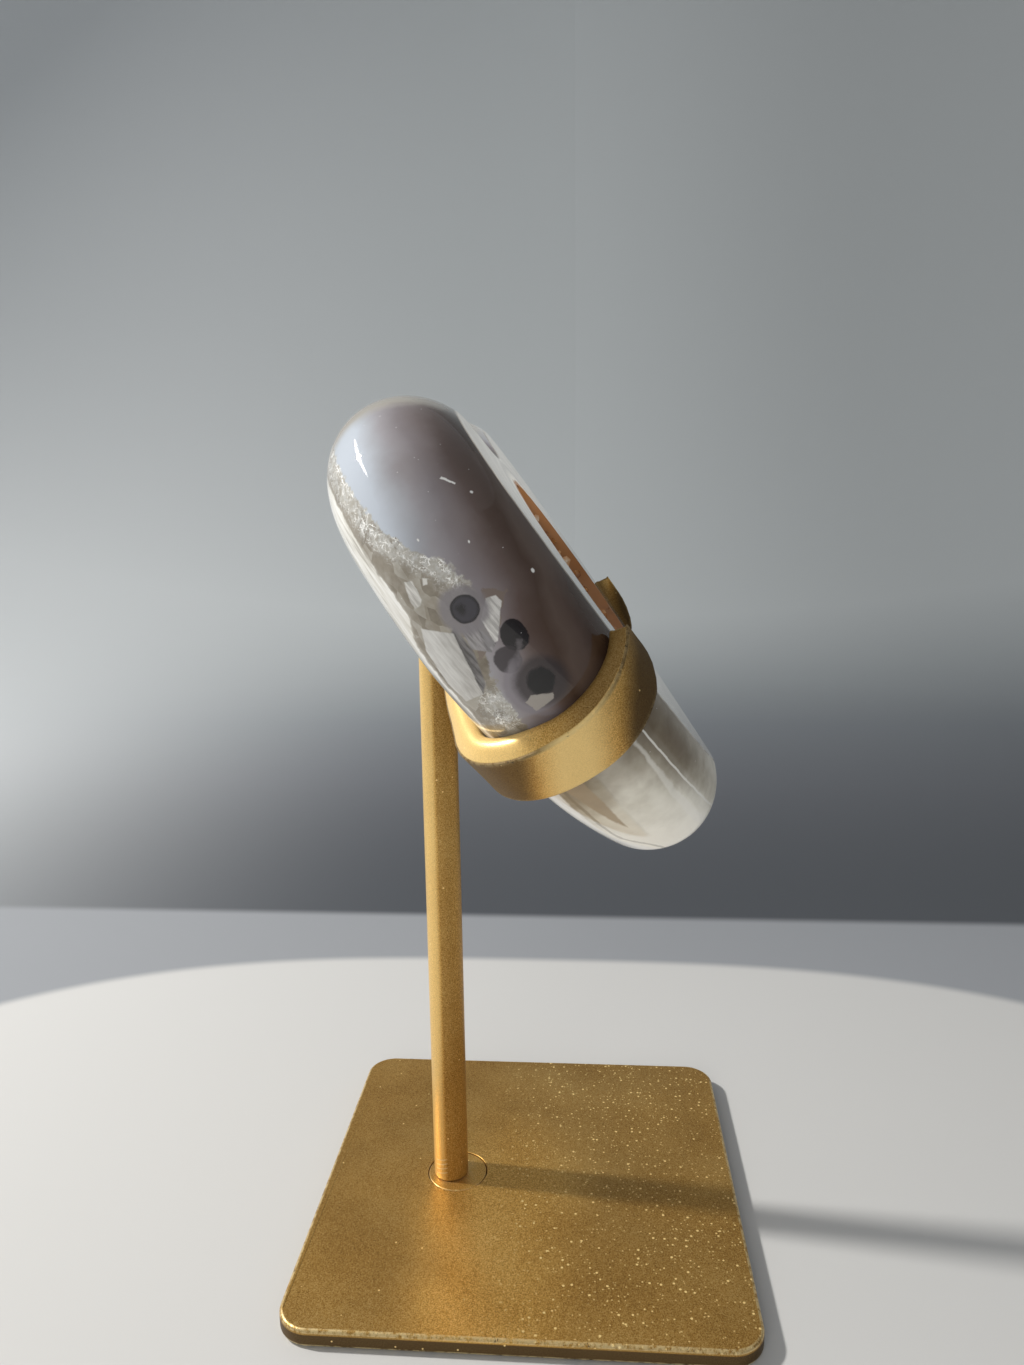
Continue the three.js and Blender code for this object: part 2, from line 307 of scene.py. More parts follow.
def bevel_where(piece, wanted, width, segments):
    """Rounds the edges whose middle and direction answer to wanted."""
    bpy.context.view_layer.objects.active = piece
    bpy.ops.object.mode_set(mode="EDIT")
    bpy.ops.mesh.select_mode(type="EDGE")
    bpy.ops.mesh.select_all(action="DESELECT")
    mesh = bmesh.from_edit_mesh(piece.data)
    for edge in mesh.edges:
        first, last = (v.co for v in edge.verts)
        sharp = edge.calc_face_angle(0) > math.radians(30)
        edge.select = sharp and wanted((first + last) / 2, (last - first).normalized())
    mesh.select_flush_mode()
    bmesh.update_edit_mesh(piece.data)
    bpy.ops.mesh.bevel(offset=width, segments=segments, affect="EDGES")
    bpy.ops.object.mode_set(mode="OBJECT")


def pick_underside(piece):
    """Opens a piece for editing, with only the faces selected that look down."""
    bpy.ops.object.mode_set(mode="EDIT")
    bpy.ops.mesh.select_mode(type="FACE")
    bpy.ops.mesh.select_all(action="DESELECT")
    mesh = bmesh.from_edit_mesh(piece.data)
    for face in mesh.faces:
        face.select = face.normal.z < -0.9
    bmesh.update_edit_mesh(piece.data)


def cut_away(piece, cutter):
    """Cuts one piece out of another and drops the cutter."""
    bpy.context.view_layer.objects.active = piece
    cut = piece.modifiers.new("cut", "BOOLEAN")
    cut.operation = "DIFFERENCE"
    cut.object = cutter
    bpy.ops.object.modifier_apply(modifier=cut.name)
    bpy.data.objects.remove(cutter)


def mark_points(piece, name, share):
    """Keeps a share from 0 to 1 at each point of a piece, for its finish to read."""
    shares = piece.data.attributes.new(name, "FLOAT", "POINT")
    for vertex, kept in zip(piece.data.vertices, shares.data, strict=True):
        kept.value = share(vertex)


def set_up(piece, body, slot, finish, *nodes):
    piece.data.materials.clear()
    piece.data.materials.append(finish)
    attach(piece, body)
    if nodes:
        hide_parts(*nodes)


# Finishes

class Strand:
    """A value in a material's nodes. Arithmetic on it adds Math nodes."""

    def __init__(self, finish, socket):
        self.finish = finish
        self.socket = socket

    def math(self, operation, first, second):
        return self.finish.node("Math", {"operation": operation}, {0: first, 1: second})

    def __add__(self, other):
        return self.math("ADD", self, other)

    def __radd__(self, other):
        return self.math("ADD", other, self)

    def __sub__(self, other):
        return self.math("SUBTRACT", self, other)

    def __rsub__(self, other):
        return self.math("SUBTRACT", other, self)

    def __mul__(self, other):
        return self.math("MULTIPLY", self, other)

    def __rmul__(self, other):
        return self.math("MULTIPLY", other, self)

    def __truediv__(self, other):
        return self.math("DIVIDE", self, other)

    def __pow__(self, other):
        return self.math("POWER", self, other)

    def __gt__(self, other):
        return self.math("GREATER_THAN", self, other)

    def __lt__(self, other):
        return self.math("LESS_THAN", self, other)

    def __abs__(self):
        return self.math("ABSOLUTE", self, 0)


class Finish:
    """A material under construction."""

    def __init__(self, name):
        self.material = bpy.data.materials.new(name)
        self.material.use_nodes = True
        self.tree = self.material.node_tree
        self.tree.nodes.clear()

    def node(self, kind, settings, inputs, output=0):
        """Adds a node: its settings come first, then the values or links of its sockets."""
        made = self.tree.nodes.new("ShaderNode" + kind)
        for name, value in settings.items():
            if name == "stops":
                self.set_stops(made.color_ramp.elements, value)
            else:
                setattr(made, name, value)
        for name, value in inputs.items():
            if isinstance(value, Strand):
                self.tree.links.new(value.socket, made.inputs[name])
            else:
                made.inputs[name].default_value = value
        return Strand(self, made.outputs[output]) if made.outputs else None

    @staticmethod
    def set_stops(elements, stops):
        while len(elements) < len(stops):
            elements.new(1)
        for element, (position, colour) in zip(elements, stops, strict=True):
            element.position = position
            element.color = colour

    def coordinates(self, place=(0, 0, 0), turn=(0, 0, 0)):
        """Object coordinates in millimetres, from a place and a turn of the piece."""
        whole = self.node("TexCoord", {}, {}, "Object")
        return self.node("Mapping", {"vector_type": "TEXTURE"}, {
            "Vector": whole, "Location": place, "Rotation": turn, "Scale": (MM, MM, MM)})

    def split(self, vector):
        return [self.node("SeparateXYZ", {}, {0: vector}, axis) for axis in range(3)]

    def step(self, value, low, high):
        """Rises smoothly from 0 at low to 1 at high, or falls where high is the lower."""
        if low < high:
            return self.node("MapRange", {"interpolation_type": "SMOOTHSTEP"}, {
                "Value": value, "From Min": low, "From Max": high})
        return 1 - self.step(value, high, low)

    def attribute(self, name):
        """A share that the piece keeps at each of its points."""
        return self.node("Attribute", {"attribute_name": name}, {}, "Fac")

    def most(self, first, second):
        return self.node("Math", {"operation": "MAXIMUM"}, {0: first, 1: second})

    def least(self, first, second):
        return self.node("Math", {"operation": "MINIMUM"}, {0: first, 1: second})

    def noise(self, vector, scale, detail=3, rough=0.5):
        return self.node("TexNoise", {}, {
            "Vector": vector, "Scale": scale, "Detail": detail, "Roughness": rough})

    def cells(self, vector, scale, output=0):
        return self.node("TexVoronoi", {}, {"Vector": vector, "Scale": scale}, output)

    def mix(self, share, first, second, blend="MIX"):
        return self.node("Mix", {"data_type": "RGBA", "blend_type": blend}, {
            0: share, 6: first, 7: second}, 2)

    def ramp(self, value, stops):
        return self.node("ValToRGB", {"stops": stops}, {0: value})

    def stretched(self, vector, x, y, z):
        return self.node("Mapping", {}, {"Vector": vector, "Scale": (x, y, z)})

    def specks(self, vector, scale, share, radius):
        """Small round spots in a share of the cells of a scatter."""
        near = self.step(self.cells(vector, scale), radius, radius * 0.6)
        picked = self.split(self.cells(vector, scale, 1))[0] > 1 - share
        return near * picked

    def bump(self, height, strength, distance):
        return self.node("Bump", {}, {
            "Height": height, "Strength": strength, "Distance": distance})

    def done(self, **sockets):
        """Feeds the surface, whose socket names are written with underscores."""
        named = {name.replace("_", " "): value for name, value in sockets.items()}
        surface = self.node("BsdfPrincipled", {}, named)
        self.node("OutputMaterial", {}, {"Surface": surface})
        return self.material


def gold_paint(name, metal, roughness, rub, bright=None, dull_and_painted_shade=None, marks=None):
    """Satin gold paint: fine sandy grain, flakes painted as glints, rubbed edges, a few dark pits, and
    painted highlights and shade where asked.
    """
    paint = Finish(name)
    place = paint.coordinates()
    cloud = paint.noise(place, 0.05, 3)
    grain = paint.noise(place, 5.5, 2, 0.6)
    sand = paint.cells(place, 4.5)
    base = paint.ramp(grain * 0.75 + cloud * 0.25, [
        (0.32, srgb(150, 104, 42)),
        (0.5, srgb(216, 166, 82)),
        (0.66, srgb(248, 208, 130)),
    ])
    pepper = paint.specks(place, 2.7, 0.25, 0.32)
    colour = paint.mix(pepper * 0.4, base, srgb(104, 74, 34))
    # Painted shade where a piece asks for it, and on the plate also the darker paint of its cut edge.
    dulled_and_shaded = 0
    if dull_and_painted_shade:
        dulled_and_shaded = dull_and_painted_shade(paint, place)
        colour = paint.mix(dulled_and_shaded * 0.88, colour, srgb(46, 33, 15))
    # Flakes painted as glints, with any painted highlight or reflection laid over them in pale gold.
    glint = paint.specks(place, 0.95, 0.04, 0.2)
    if bright:
        glint = paint.most(glint, bright(paint, place))
    colour = paint.mix(glint, colour, srgb(255, 222, 148))
    # Rubbed paint on worn edges; on the plate's hole rim it is partly a painted highlight.
    worn = paint.attribute("worn_edge")
    rubbed = worn * paint.step(paint.noise(place, 1.1, 4, 0.7), 0.36, 0.56) * rub
    colour = paint.mix(rubbed, colour, srgb(250, 228, 172))
    chips = worn * paint.step(paint.noise(place, 0.4, 5, 0.75), 0.63, 0.66)
    pits = paint.specks(place, 0.14, 0.3, 0.035)
    dark = paint.most(chips, pits)
    height = grain * 0.6 + sand * 0.4 - dark * 1.5
    colour = paint.mix(dark * 0.9, colour, srgb(34, 26, 18))
    if marks:
        scored = marks(paint, place)
        colour = paint.mix(scored * 0.7, colour, srgb(252, 234, 190))
        height = height - scored
    return paint.done(
        Base_Color=colour,
        Metallic=metal - dark * 0.4 - glint * 0.3 - dulled_and_shaded * 0.2,
        Roughness=roughness + grain * 0.14 - glint * 0.1 - rubbed * 0.08 + dark * 0.3 + dulled_and_shaded * 0.1,
        Normal=paint.bump(height, 0.5, 0.05 * MM))


def bar_sides(paint, place):
    """Where a place is along the bar, with some drift, and whether it is on the outer side."""
    run = paint.split(place)[1] + (paint.noise(place, 0.12, 3) - 0.5) * 3
    return run, paint.attribute("outer_side")


def bar_painted_sheen(paint, place):
    """A painted reflection on the middle of the bar's outer sides, and a painted highlight on its lip
    towards the back.
    """
    run, outer = bar_sides(paint, place)
    middle = paint.step(run, -16, -11) * paint.step(run, -3, -8)
    lip = paint.step(run, -6, 0)
    return paint.mix(outer, lip * 0.65, middle * 0.75)


def bar_painted_shade(paint, place):
    """Painted shade on the bar's ends, where it turns to the back, and on and beside its lip, with a
    broken line of painted shade in the crease at the lip's outer edge.
    """
    run, outer = bar_sides(paint, place)
    side = paint.step(run, -14.5, -18) * 0.98 + paint.step(run, -6, -1) * 0.9
    lip = paint.step(run, -3, -12) * 0.75
    crease = paint.attribute("crease")
    broken = paint.step(paint.noise(place, 0.5, 4, 0.7), 0.32, 0.48)
    return paint.most(paint.mix(outer, lip, side), crease * broken * 0.95)


def post_painted_highlight(paint, place):
    """Painted highlight on the side of the post that looks to the back, towards the main lamp."""
    y = paint.split(place)[1] - post_centre.y / MM
    return paint.step(y, 0.3, 1.1) * 0.5


def post_painted_shade(paint, place):
    """Painted shade on the rest of the post, with less of it at the far edge."""
    y = paint.split(place)[1] - post_centre.y / MM
    return paint.step(y, 0.7, 0.1) * (0.34 - paint.step(y, -1.2, -2.8) * 0.24)


def plier_marks(paint, place):
    """Slanting bright scores on the post, just above the plate."""
    x, y, z = paint.split(place)
    lowest = plate_top / MM + 0.9
    centre = post_centre.y / MM
    wave = paint.node("Math", {"operation": "FRACT"}, {0: (z + y * 0.35) * 1.1})
    line = paint.step(wave, 0.42, 0.28) * paint.step(wave, 0.02, 0.12)
    band = paint.step(z, lowest, lowest + 0.3) * paint.step(z, lowest + 3.9, lowest + 3.5)
    side = paint.step(y, centre + 0.1, centre + 0.5) * paint.step(y, centre + 2.6, centre + 2.2)
    return line * band * side * (x < 0)


def plate_glitter(paint, place):
    """Flakes in the plate's paint, painted as bright glints, thickest on the half away from the post."""
    y = paint.split(place)[1]
    thick = paint.step(y + paint.noise(place, 0.08, 2) * 14, 20, 4)
    coarse = paint.specks(place, 0.72, 0.6, 0.2)
    fine = paint.specks(place, 1.3, 0.5, 0.24)
    top = paint.split(place)[2] > (plate_top - PLATE_ROUND) / MM
    return (coarse + fine * 0.7) * thick * top


def plate_edge_and_painted_shade(paint, place):
    """The plate's cut edge, which took less paint than its top, and soft painted shade over the top,
    lighter in front of the post as a painted reflection of it.
    """
    x, y, z = paint.split(place)
    edge = (plate_top - PLATE_ROUND) / MM
    cloud = paint.noise(place, 0.04, 3) - 0.5
    # The band in front of the post is a painted reflection of the post; the rest of the top gets painted
    # shade in soft clouds.
    bright = paint.step(abs(y - 5 + cloud * 16), 20, 5) * paint.step(x + cloud * 30, 20, -6)
    clouded = (1 - bright) * (0.46 + cloud * 0.5)
    return paint.most(paint.step(z, edge, edge - 0.3), clouded)


class StoneFinish(Finish):
    """The agate's material. It knows each place by depth behind the face and height above the tip."""

    def __init__(self, name, origin):
        super().__init__(name)
        self.place = self.coordinates(origin, (-LEAN, 0, 0))
        self.x, self.depth, self.height = self.split(self.place)
        self.cloud = self.noise(self.place, 0.07, 4, 0.55)
        self.drift = self.noise(self.place, 0.35, 3, 0.6) - 0.5
        self.shiver = self.noise(self.place, 1.1, 4, 0.65) - 0.5
        self.near = self.step(self.x, 4, -4)
        self.tip = self.step(self.height + self.drift * 3, 31, 27)

    def disc(self, centre, radius, soft=0.12, ragged=0.0, flat=1.0, turn=0.0):
        """A round or oval spot on the near side wall; flat stretches it along its turned height."""
        depth = self.depth - centre[0] + self.shiver * ragged
        height = self.height - centre[1] + self.drift * ragged * 2
        across = depth * math.cos(turn) + height * math.sin(turn)
        along = (height * math.cos(turn) - depth * math.sin(turn)) / flat
        return self.step((across ** 2 + along ** 2) ** 0.5, radius + soft, radius - soft) * self.near

    def shard(self, *corners, soft=0.1, ragged=0.35):
        """A flat-sided crystal face on the near side wall, from its corners in turn."""
        depth = self.depth + self.shiver * ragged
        height = self.height + self.drift * ragged
        inside = None
        for (d0, h0), (d1, h1) in zip(corners, (*corners[1:], corners[0]), strict=True):
            length = math.hypot(d1 - d0, h1 - h0)
            reach = (height - h0) * ((d1 - d0) / length) - (depth - d0) * ((h1 - h0) / length)
            inside = self.least(inside, reach) if inside else reach
        return self.step(inside, -soft, soft) * self.near

    def sparkle(self, scale):
        """Thin curled lines of light, as on a crust of tiny crystals."""
        curl = abs(self.noise(self.place, scale, 2, 0.5) - 0.5)
        broken = self.step(self.noise(self.place, scale * 0.45, 2), 0.46, 0.6)
        return self.step(curl, 0.05, 0.015) * broken


def chalcedony(stone):
    """The stone's body: bluish milk towards the back, through mauve, to brown at the face."""
    milk = stone.depth * 0.058 + (stone.height - 40) * 0.0119 + (stone.cloud - 0.5) * 0.35
    # Painted light: the far side's upper part is paler, for light that comes through the thin stone
    # there.
    milk = milk + stone.step(stone.x, 3, 10) * stone.step(stone.height, 58, 72) * 0.6
    colour = stone.ramp(milk * 0.8, [
        (0.10, srgb(68, 50, 40)),
        (0.18, srgb(90, 73, 64)),
        (0.25, srgb(94, 78, 69)),
        (0.32, srgb(78, 61, 51)),
        (0.44, srgb(96, 81, 76)),
        (0.55, srgb(124, 114, 114)),
        (0.64, srgb(136, 129, 132)),
        (0.76, srgb(160, 157, 162)),
        (0.86, srgb(178, 182, 190)),
        (0.96, srgb(194, 202, 213)),
    ])
    # The cream crown between the lobes is partly the stone's own colour and partly painted light coming
    # through the thin top.
    crown = (19 - abs(stone.x)) * 0.9 + (stone.height - 62.7) * 0.44 + stone.drift * 2
    crown = stone.step(crown, -2.5, 1.5) * stone.step(stone.height, 74, 80)
    colour = stone.mix(crown, colour, srgb(176, 171, 162))
    return stone.mix(stone.disc((9.2, 74), 2.5, 3.5, 1.5) * 0.4, colour, srgb(122, 112, 110))


def quartz_seam(stone, colour):
    """Clear quartz behind a wavy border, with a sparkling crust and a white rind at the back."""
    depth, height = stone.depth, stone.height
    bay = stone.node("Math", {"operation": "EXPONENT"}, {0: ((height - 57.5) / 8.5) ** 2 * -1})
    beyond = depth - 16.2 + bay * 6 + stone.drift * 2.4 + stone.shiver * 1.6
    seam = stone.step(beyond, -0.2, 0.3) * stone.step(height, 32, 36)
    facets = stone.cells(stone.stretched(stone.place, 1, 1, 0.6), 0.8, 1)
    quartz = stone.ramp(stone.noise(stone.place, 0.25, 4, 0.6) * 0.7 + stone.split(facets)[0] * 0.3, [
        (0.25, srgb(112, 103, 88)),
        (0.45, srgb(146, 138, 124)),
        (0.62, srgb(172, 167, 156)),
        (0.8, srgb(196, 192, 183)),
    ])
    crust = stone.step(beyond, 4.2, 1.2) * stone.step(height, 55, 60)
    low_crust = stone.disc((17.2, 41.0), 3.0, 1.4, 0.8)
    crust = crust + low_crust * (1 - crust)
    frosted = stone.step(stone.noise(stone.place, 1.2, 4, 0.7), 0.44, 0.62)
    quartz = stone.mix(crust * (0.25 + frosted * 0.6), quartz, srgb(204, 205, 203))
    glitter = stone.sparkle(1.4) + stone.sparkle(2.6) * 0.6
    quartz = stone.mix(crust * glitter, quartz, srgb(252, 252, 250))
    colour = stone.mix(seam, colour, quartz)

    inner = 19.3 + 2.3 * stone.step(height, 59, 54)
    rind = stone.step(depth + stone.drift * 1.4 - inner, -0.25, 0.35) * stone.step(height, 34, 38)
    layers = stone.noise(stone.stretched(stone.place, 0.12, 1.5, 0.12), 0.9, 3, 0.6)
    glassy = stone.ramp(layers, [
        (0.34, srgb(160, 156, 146)),
        (0.46, srgb(204, 202, 194)),
        (0.6, srgb(222, 221, 216)),
    ])
    colour = stone.mix(rind, colour, glassy)
    thread = stone.step(abs(depth + stone.drift * 1.4 - inner - 0.1), 0.3, 0.1)
    thread = thread * stone.step(height, 34, 38)
    return stone.mix(thread * 0.6, colour, srgb(118, 108, 92)), crust * seam, rind


def grown_crystals(stone, colour):
    """White blades and clear faces grown into the seam on the near side."""
    needles = stone.noise(stone.stretched(stone.place, 1, 2.6, 0.3), 0.9, 3, 0.6)
    shade = stone.step(needles, 0.3, 0.68)
    window = stone.shard(
        (9.3, 56), (7.1, 53.7), (9.6, 51.3), (13.6, 48.8), (15.3, 48.3), (13, 53), ragged=2)
    colour = stone.mix(window * 0.85, colour, srgb(126, 113, 104))
    clear = stone.shard((14.7, 53.4), (13.1, 52.9), (12.2, 49), (13.5, 48.3), (15.4, 50.2))
    glass = stone.mix(shade, srgb(104, 101, 104), srgb(166, 164, 166))
    colour = stone.mix(clear * 0.9, colour, glass)
    dim = stone.shard((15.2, 54), (15.4, 49.5), (16.9, 45.2), (18.2, 44.2), (16.2, 53.4), soft=0.2)
    colour = stone.mix(dim * 0.9, colour, stone.mix(shade, srgb(72, 70, 72), srgb(132, 130, 132)))
    slab = stone.shard((19.3, 56.2), (16, 53.2), (18.2, 44.2), (21, 44.6), (21.5, 48), (20.8, 53.5))
    facet = stone.step(stone.depth + (stone.height - 50) * 0.28 + stone.drift, 18.2, 19.6)
    milky = stone.mix(shade * 0.5 + facet * 0.5, srgb(182, 180, 176), srgb(230, 230, 227))
    colour = stone.mix(slab * 0.95, colour, milky)
    blade = stone.shard((9.7, 54.5), (8.5, 54), (8.4, 52.9), (11.9, 49.1), (12.4, 49.2), (11.9, 52.6))
    colour = stone.mix(blade * 0.95, colour, stone.mix(shade, srgb(172, 170, 168), srgb(226, 225, 222)))
    lower = stone.shard((11.9, 52.6), (12.4, 49.2), (13.5, 48.9), (12.8, 52.2))
    colour = stone.mix(lower * 0.8, colour, srgb(140, 138, 140))
    splinter = stone.shard(
        (17.1, 62.2), (16.1, 61.7), (16.5, 59.1), (17.2, 58.6), (18.1, 58.6), (18.1, 59.8))
    colour = stone.mix(splinter * 0.9, colour, stone.mix(shade, srgb(176, 174, 168), srgb(234, 233, 229)))
    chip = stone.shard((14.7, 61.2), (14.2, 60.8), (14.7, 60.2), (15.2, 60.4))
    return stone.mix(chip * 0.9, colour, srgb(226, 225, 220))


def dark_eyes(stone, colour):
    """Four dark grown spots, two of them with a pale halo."""
    black = srgb(12, 10, 12)
    halo = stone.disc((12.9, 54.9), 3.2, 0.5, 0.7)
    colour = stone.mix(halo * 0.9, colour, srgb(132, 128, 132))
    colour = stone.mix(stone.disc((12.7, 54.9), 1.9, 0.12, 0.2), colour, srgb(26, 24, 28))
    colour = stone.mix(stone.disc((12.7, 54.9), 1.6, 0.25, 0.3), colour, srgb(56, 54, 62))
    colour = stone.mix(stone.disc((13.1, 55.3), 0.6, 0.5, 1.2) * 0.9, colour, black)
    oval = stone.disc((9.8, 48.4), 1.75, 0.12, 0.5, 1.28, 0.2)
    colour = stone.mix(oval, colour, srgb(30, 26, 28))
    half = stone.disc((12.4, 46.3), 1.8, 0.15, 0.5, 1.05)
    colour = stone.mix(half * 0.9, colour, srgb(52, 46, 50))
    streak = stone.shard((9.9, 47.6), (9.4, 47.4), (11.6, 44.2), (12.2, 44.6), soft=0.25, ragged=1.5)
    colour = stone.mix(streak * 0.5, colour, srgb(120, 114, 118))

    low = (10.8, 41.2)
    crescent = stone.disc(low, 5.0, 0.3, 0.8) * stone.step(stone.depth, 10, 13.5)
    colour = stone.mix(crescent * 0.8, colour, srgb(138, 133, 140))
    colour = stone.mix(stone.disc(low, 3.5, 0.8, 0.6) * 0.9, colour, srgb(56, 49, 50))
    colour = stone.mix(stone.disc(low, 1.9, 0.3, 0.7), colour, black)
    flake = stone.shard((14.2, 40), (13, 40.4), (10.6, 39), (10.9, 38.3), (13.9, 38.1), ragged=0.8)
    return stone.mix(flake * 0.95, colour, srgb(168, 162, 155))


def pale_tip(stone):
    """The cloudy tip below the cradle, with pale lines along the face; it is milky by its own colour and
    paler towards the point by painted light that comes through it.
    """
    depth, height = stone.depth, stone.height
    fall = stone.step(height, 26, 4)
    pallor = stone.step(depth, 3, 8) * 0.2 + fall * 0.5 + (stone.cloud - 0.5) * 0.75 + stone.drift * 0.12
    colour = stone.ramp(pallor + 0.13, [
        (0.1, srgb(112, 101, 84)),
        (0.28, srgb(140, 131, 114)),
        (0.44, srgb(180, 173, 158)),
        (0.6, srgb(220, 216, 202)),
        (0.8, srgb(245, 242, 230)),
    ])
    wedge = stone.shard((19.4, 27), (16, 27), (15.8, 19.2), (16.2, 12.4), (17.1, 14.7), soft=0.2)
    colour = stone.mix(wedge * 0.8, colour, srgb(166, 150, 128))
    middle = 6.4 + fall * 0.9
    layer = abs(depth - middle + stone.drift * 0.9) - fall * 0.5
    colour = stone.mix(stone.step(layer, 0.45, 0.05) * 0.5, colour, srgb(240, 238, 230))
    line = abs(depth - 4.6 + stone.drift * 0.35)
    colour = stone.mix(stone.step(line, 0.2, 0.08) * 0.85, colour, srgb(236, 234, 226))
    stain = stone.disc((2.2, 18.5), 1.2, 1.0, 1.5, 3.0)
    colour = stone.mix(stain * 0.5, colour, srgb(104, 90, 74))
    border = 20.3 - 4 * stone.step(height, 12, 2)
    shadow = stone.step(abs(depth + stone.drift * 0.6 - border + 1), 0.4, 0.12)
    colour = stone.mix(shadow * 0.55, colour, srgb(126, 116, 100))
    rim = stone.step(depth + stone.drift * 0.6 - border, -0.2, 0.3)
    return stone.mix(rim * 0.9, colour, srgb(240, 239, 233))


def polished_face(stone, colour):
    """The flat face, banded round the pocket, and the pocket's amber floor."""
    across = (stone.x / (POCKET_WIDTH / MM / 2)) ** 2
    upward = ((stone.height - POCKET_CENTRE / MM) / (POCKET_HEIGHT / MM / 2)) ** 2
    ripple = (across + upward) ** 0.5 + stone.drift * 0.1
    face = stone.step(stone.depth, 0.2, 0.04)
    bands = stone.noise(stone.node("CombineXYZ", {}, {0: ripple}), 9, 3, 0.6)
    polished = stone.ramp(bands + (stone.cloud - 0.5) * 0.5, [
        (0.3, srgb(138, 131, 121)),
        (0.46, srgb(166, 159, 149)),
        (0.56, srgb(186, 180, 169)),
        (0.7, srgb(212, 207, 196)),
    ])
    lip = stone.step(ripple, 1.14, 1.04)
    polished = stone.mix(lip * 0.7, polished, srgb(222, 214, 198))
    holes = stone.specks(stone.place, 0.3, 0.25, 0.08)
    polished = stone.mix(holes * 0.9, polished, srgb(52, 44, 38))
    colour = stone.mix(face, colour, polished)
    pocket = stone.step(ripple, 1.03, 0.99) * stone.step(stone.depth, 12, 11)
    colour = stone.mix(pocket, colour, srgb(168, 116, 68))

    ring = stone.step(stone.depth, 22.6, 23.2)
    backs = stone.noise(stone.node("CombineXYZ", {}, {0: ripple + stone.cloud * 0.5}), 3.5, 4, 0.6)
    clouded = stone.ramp(backs, [
        (0.34, srgb(156, 153, 146)),
        (0.46, srgb(182, 180, 174)),
        (0.6, srgb(202, 201, 197)),
    ])
    return stone.mix(ring, colour, clouded), face, holes * face, pocket


def agate(name, origin):
    """Polished agate: milky lilac to brown chalcedony, a quartz seam with blades and dark eyes."""
    stone = StoneFinish(name, origin)
    colour = chalcedony(stone)
    colour, crust, rind = quartz_seam(stone, colour)
    colour = grown_crystals(stone, colour)
    colour = dark_eyes(stone, colour)
    nicks = stone.shard((5.7, 70), (5.4, 70.1), (4.4, 68.4), (4.6, 68.3), soft=0.06)
    spots = (((3.5, 66.3), 0.16), ((12.2, 65.2), 0.13), ((7.2, 61.4), 0.12), ((3.1, 53.6), 0.18))
    for spot, radius in spots:
        nicks = nicks + stone.disc(spot, radius, 0.06, 0.4, 1.6)
    colour = stone.mix(nicks, colour, srgb(238, 238, 236))
    colour = stone.mix(stone.tip, colour, pale_tip(stone))
    colour, face, holes, pocket = polished_face(stone, colour)

    # Dust in the polish, and light that passes through the pale parts
    dust = stone.specks(stone.stretched(stone.place, 1, 0.6, 1.4), 0.5, 0.22, 0.045)
    fine_dust = stone.specks(stone.place, 0.8, 0.3, 0.07) * stone.step(stone.height, 58, 68) * stone.near
    colour = stone.mix(dust * 0.8 + fine_dust * 0.7, colour, srgb(236, 236, 236))
    far_edge = stone.step(stone.depth, 2.5, 0.3) * stone.step(stone.x, 1, 6)
    thin = face + far_edge * (1 - face)
    glow = stone.tip * 0.15 + rind * 0.3 + thin * stone.step(stone.height, 45, 70) * 0.45
    return stone.done(
        Base_Color=colour,
        Emission_Color=stone.mix(glow * stone.step(stone.depth, 23.2, 21.8), (0, 0, 0, 1), colour),
        Emission_Strength=1,
        Roughness=0.035 + dust * 0.3 + pocket * 0.35 + crust * 0.12,
        IOR=1.54,
        Coat_Weight=0.2,
        Coat_Roughness=0.02,
        Normal=stone.bump(crust * stone.shiver - holes, 0.12, 0.1 * MM))


def druse(name, origin):
    """Small crystals, amber at the root and pale at the point, no two quite alike."""
    crystal = Finish(name)
    place = crystal.coordinates(origin, (-LEAN, 0, 0))
    root = crystal.attribute("root")
    stain = crystal.noise(place, 0.13, 4, 0.6) * 0.7 + crystal.attribute("tone") * 0.3
    amber = crystal.ramp(stain, [
        (0.32, srgb(122, 72, 34)),
        (0.5, srgb(184, 124, 70)),
        (0.68, srgb(222, 180, 130)),
    ])
    pale = crystal.ramp(stain, [
        (0.3, srgb(178, 130, 82)),
        (0.5, srgb(220, 190, 152)),
        (0.7, srgb(242, 234, 220)),
    ])
    veil = crystal.noise(place, 1.4, 3, 0.6)
    colour = crystal.mix(root * 0.85 + (veil - 0.5) * 0.4, pale, amber)
    return crystal.done(
        Base_Color=colour,
        # The crystals glow faintly in their own colour: painted light.
        Emission_Color=colour,
        Emission_Strength=0.1,
        Roughness=0.05 + veil * 0.14,
        IOR=1.54,
        Coat_Weight=0.3,
        Coat_Roughness=0.05,
        Normal=crystal.bump(veil, 0.15, 0.1 * MM))


# Stone

def pocket_rim(point):
    """Where the pocket's wavy rim lies, in the direction of a point of the outline."""
    turn = math.atan2(point.y - POCKET_CENTRE, point.x)
    wave = noise.noise(Vector((math.cos(turn), math.sin(turn), 0.4)) * 1.7)
    wave += 0.5 * noise.noise(Vector((math.cos(turn), math.sin(turn), 0.9)) * 4.5)
    reach = 1 - POCKET_WAVE * (0.6 + 0.8 * wave)
    return Vector((
        POCKET_WIDTH / 2 * math.cos(turn) * reach,
        POCKET_HEIGHT / 2 * math.sin(turn) * reach + POCKET_CENTRE))


